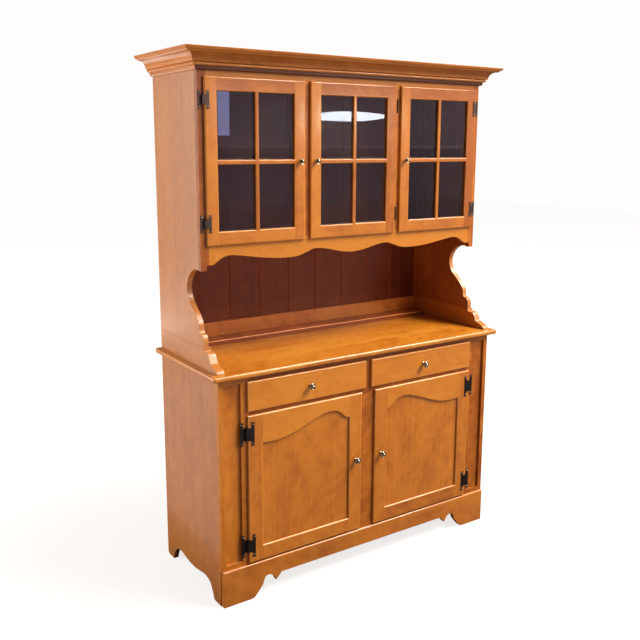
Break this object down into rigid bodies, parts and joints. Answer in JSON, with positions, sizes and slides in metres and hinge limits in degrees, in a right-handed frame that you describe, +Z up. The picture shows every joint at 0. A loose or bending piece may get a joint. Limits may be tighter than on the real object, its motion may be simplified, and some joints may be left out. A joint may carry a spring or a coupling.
{
  "type": "china hutch",
  "caption": "Two-stage wooden hutch: drawers over panelled doors below, a counter with scroll-cut sides, and glazed doors under a crown moulding above.",
  "frame": {"origin": "on the floor under the middle of the whole piece, crown and knobs included", "axes": "+Z up, -Y out of the front, +X to the right of someone who faces the front"},
  "size_m": [1.3516, 0.4892, 1.849],
  "materials": {
    "side_maple": "stained maple under satin lacquer",
    "front_maple": "stained maple under satin lacquer",
    "inside_wood": "plain sealed wood",
    "counter_maple": "stained maple under a glossier lacquer",
    "back_maple": "dark stained V-grooved planks",
    "crown_maple": "stained maple under satin lacquer",
    "pane": "clear window glass",
    "black_iron": "matt black painted steel",
    "dark_pewter": "dark pewter finish with bright nail heads",
    "knob_metal": "polished and toned brass"
  },
  "bodies": {
    "cabinet": {"base_left_side": "side_maple", "base_right_side": "side_maple", "hutch_left_side": "side_maple", "hutch_right_side": "side_maple", "gallery_left_bracket": "side_maple", "gallery_right_bracket": "side_maple", "base_face_frame": "front_maple", "base_apron": "front_maple", "gallery_back_board": "front_maple", "gallery_ledge": "front_maple", "hutch_face_frame": "front_maple", "base_back_panel": "inside_wood", "base_deck": "inside_wood", "base_shelf": "inside_wood", "drawer_dust_board": "inside_wood", "hutch_deck": "inside_wood", "hutch_shelf": "inside_wood", "hutch_top_board": "inside_wood", "counter_top": "counter_maple", "hutch_back_panel": "back_maple", "crown_moulding": "crown_maple", "base_left_door_upper_hinge_frame_leaf": "black_iron", "base_left_door_lower_hinge_frame_leaf": "black_iron", "base_right_door_upper_hinge_frame_leaf": "black_iron", "base_right_door_lower_hinge_frame_leaf": "black_iron", "hutch_left_door_upper_hinge_frame_leaf": "dark_pewter", "hutch_left_door_lower_hinge_frame_leaf": "dark_pewter", "hutch_right_door_upper_hinge_frame_leaf": "dark_pewter", "hutch_right_door_lower_hinge_frame_leaf": "dark_pewter"},
    "base_left_door": {"base_left_door_frame": "front_maple", "base_left_door_panel": "front_maple", "base_left_door_knob": "knob_metal", "base_left_door_upper_hinge_door_leaf": "black_iron", "base_left_door_lower_hinge_door_leaf": "black_iron"},
    "base_right_door": {"base_right_door_frame": "front_maple", "base_right_door_panel": "front_maple", "base_right_door_knob": "knob_metal", "base_right_door_upper_hinge_door_leaf": "black_iron", "base_right_door_lower_hinge_door_leaf": "black_iron"},
    "hutch_left_door": {"hutch_left_door_frame": "front_maple", "hutch_left_door_glass": "pane", "hutch_left_door_knob": "knob_metal", "hutch_left_door_upper_hinge_door_leaf": "dark_pewter", "hutch_left_door_lower_hinge_door_leaf": "dark_pewter"},
    "hutch_middle_door": {"hutch_middle_door_frame": "front_maple", "hutch_middle_door_glass": "pane", "hutch_middle_door_knob": "knob_metal", "hutch_middle_door_upper_hinge_leaf": "dark_pewter", "hutch_middle_door_lower_hinge_leaf": "dark_pewter"},
    "hutch_right_door": {"hutch_right_door_frame": "front_maple", "hutch_right_door_glass": "pane", "hutch_right_door_knob": "knob_metal", "hutch_right_door_upper_hinge_door_leaf": "dark_pewter", "hutch_right_door_lower_hinge_door_leaf": "dark_pewter"},
    "left_drawer": {"left_drawer_face": "front_maple", "left_drawer_box": "inside_wood", "left_drawer_knob": "knob_metal"},
    "right_drawer": {"right_drawer_face": "front_maple", "right_drawer_box": "inside_wood", "right_drawer_knob": "knob_metal"}
  },
  "joints": [
    {"name": "base_left_door_hinge", "type": "hinge", "parent": "cabinet", "child": "base_left_door", "pos_m": [-0.5109, -0.21595, 0.4015], "axis": [0, 0, -1], "range_deg": [0, 110]},
    {"name": "base_right_door_hinge", "type": "hinge", "parent": "cabinet", "child": "base_right_door", "pos_m": [0.5109, -0.21595, 0.4015], "axis": [0, 0, 1], "range_deg": [0, 110]},
    {"name": "hutch_left_door_hinge", "type": "hinge", "parent": "cabinet", "child": "hutch_left_door", "pos_m": [-0.5933, -0.11255, 1.4975], "axis": [0, 0, -1], "range_deg": [0, 110]},
    {"name": "hutch_middle_door_hinge", "type": "hinge", "parent": "cabinet", "child": "hutch_middle_door", "pos_m": [0.19297, -0.11255, 1.4975], "axis": [0, 0, 1], "range_deg": [0, 110]},
    {"name": "hutch_right_door_hinge", "type": "hinge", "parent": "cabinet", "child": "hutch_right_door", "pos_m": [0.5933, -0.11255, 1.4975], "axis": [0, 0, 1], "range_deg": [0, 110]},
    {"name": "left_drawer_slide", "type": "slide", "parent": "cabinet", "child": "left_drawer", "axis": [0, -1, 0], "range_m": [0, 0.3]},
    {"name": "right_drawer_slide", "type": "slide", "parent": "cabinet", "child": "right_drawer", "axis": [0, -1, 0], "range_m": [0, 0.3]}
  ]
}
